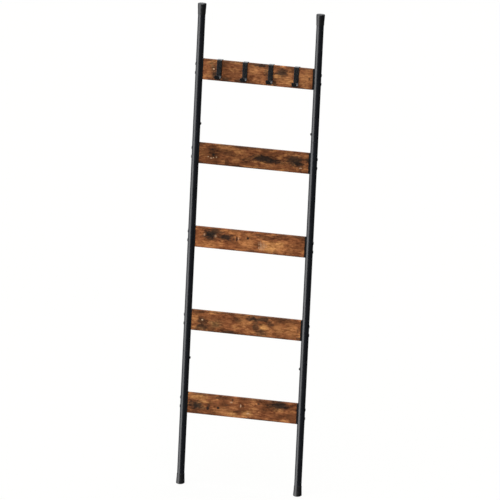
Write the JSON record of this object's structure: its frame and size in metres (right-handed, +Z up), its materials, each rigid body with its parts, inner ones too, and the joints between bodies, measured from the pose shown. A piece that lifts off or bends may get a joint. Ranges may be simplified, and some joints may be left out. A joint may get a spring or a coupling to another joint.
{
  "type": "blanket ladder",
  "caption": "Leaning blanket ladder with round tube posts, flat wood rungs and slide-along hooks on the top rung.",
  "frame": {"origin": "centre of the bounding box's base, on the floor, midway between the posts", "axes": "+Z up; +X across the ladder, to the right as seen from the front; +Y towards the wall that it leans on, so -Y is the front. The posts lean back 10 degrees from vertical, towards +Y."},
  "size_m": [0.439, 0.315, 1.6263],
  "materials": {
    "post_paint": "satin black powder coat",
    "end_caps": "fine-grained black plastic",
    "saddles": "matt black plastic",
    "sleeve_steel": "zinc plated",
    "fasteners": "black oxide",
    "boards": "rustic brown wood-grain laminate on particle board",
    "hook_enamel": "semi-gloss black enamel"
  },
  "bodies": {
    "ladder": {"left_post_lower_tube": "post_paint", "left_post_middle_tube": "post_paint", "left_post_upper_tube": "post_paint", "left_lower_joint_sleeve": "sleeve_steel", "left_lower_joint_screw": "fasteners", "left_upper_joint_sleeve": "sleeve_steel", "left_upper_joint_screw": "fasteners", "left_top_cap": "end_caps", "left_foot_cap": "end_caps", "right_post_lower_tube": "post_paint", "right_post_middle_tube": "post_paint", "right_post_upper_tube": "post_paint", "right_lower_joint_sleeve": "sleeve_steel", "right_lower_joint_screw": "fasteners", "right_upper_joint_sleeve": "sleeve_steel", "right_upper_joint_screw": "fasteners", "right_top_cap": "end_caps", "right_foot_cap": "end_caps", "rung_board_1": "boards", "rung_1_left_saddle": "saddles", "rung_1_left_upper_bolt": "fasteners", "rung_1_left_lower_bolt": "fasteners", "rung_1_right_saddle": "saddles", "rung_1_right_upper_bolt": "fasteners", "rung_1_right_lower_bolt": "fasteners", "rung_board_2": "boards", "rung_2_left_saddle": "saddles", "rung_2_left_upper_bolt": "fasteners", "rung_2_left_lower_bolt": "fasteners", "rung_2_right_saddle": "saddles", "rung_2_right_upper_bolt": "fasteners", "rung_2_right_lower_bolt": "fasteners", "rung_board_3": "boards", "rung_3_left_saddle": "saddles", "rung_3_left_upper_bolt": "fasteners", "rung_3_left_lower_bolt": "fasteners", "rung_3_right_saddle": "saddles", "rung_3_right_upper_bolt": "fasteners", "rung_3_right_lower_bolt": "fasteners", "rung_board_4": "boards", "rung_4_left_saddle": "saddles", "rung_4_left_upper_bolt": "fasteners", "rung_4_left_lower_bolt": "fasteners", "rung_4_right_saddle": "saddles", "rung_4_right_upper_bolt": "fasteners", "rung_4_right_lower_bolt": "fasteners", "rung_board_5": "boards", "rung_5_left_saddle": "saddles", "rung_5_left_upper_bolt": "fasteners", "rung_5_left_lower_bolt": "fasteners", "rung_5_right_saddle": "saddles", "rung_5_right_upper_bolt": "fasteners", "rung_5_right_lower_bolt": "fasteners"},
    "hook_1": {"hook_1": "hook_enamel"},
    "hook_2": {"hook_2": "hook_enamel"},
    "hook_3": {"hook_3": "hook_enamel"},
    "hook_4": {"hook_4": "hook_enamel"}
  },
  "joints": [
    {"name": "hook_1_slide", "type": "slide", "parent": "ladder", "child": "hook_1", "axis": [1, 0, 0], "range_m": [-0.045, 0.034]},
    {"name": "hook_2_slide", "type": "slide", "parent": "ladder", "child": "hook_2", "axis": [1, 0, 0], "range_m": [-0.034, 0.034]},
    {"name": "hook_3_slide", "type": "slide", "parent": "ladder", "child": "hook_3", "axis": [1, 0, 0], "range_m": [-0.034, 0.034]},
    {"name": "hook_4_slide", "type": "slide", "parent": "ladder", "child": "hook_4", "axis": [1, 0, 0], "range_m": [-0.034, 0.045]}
  ]
}
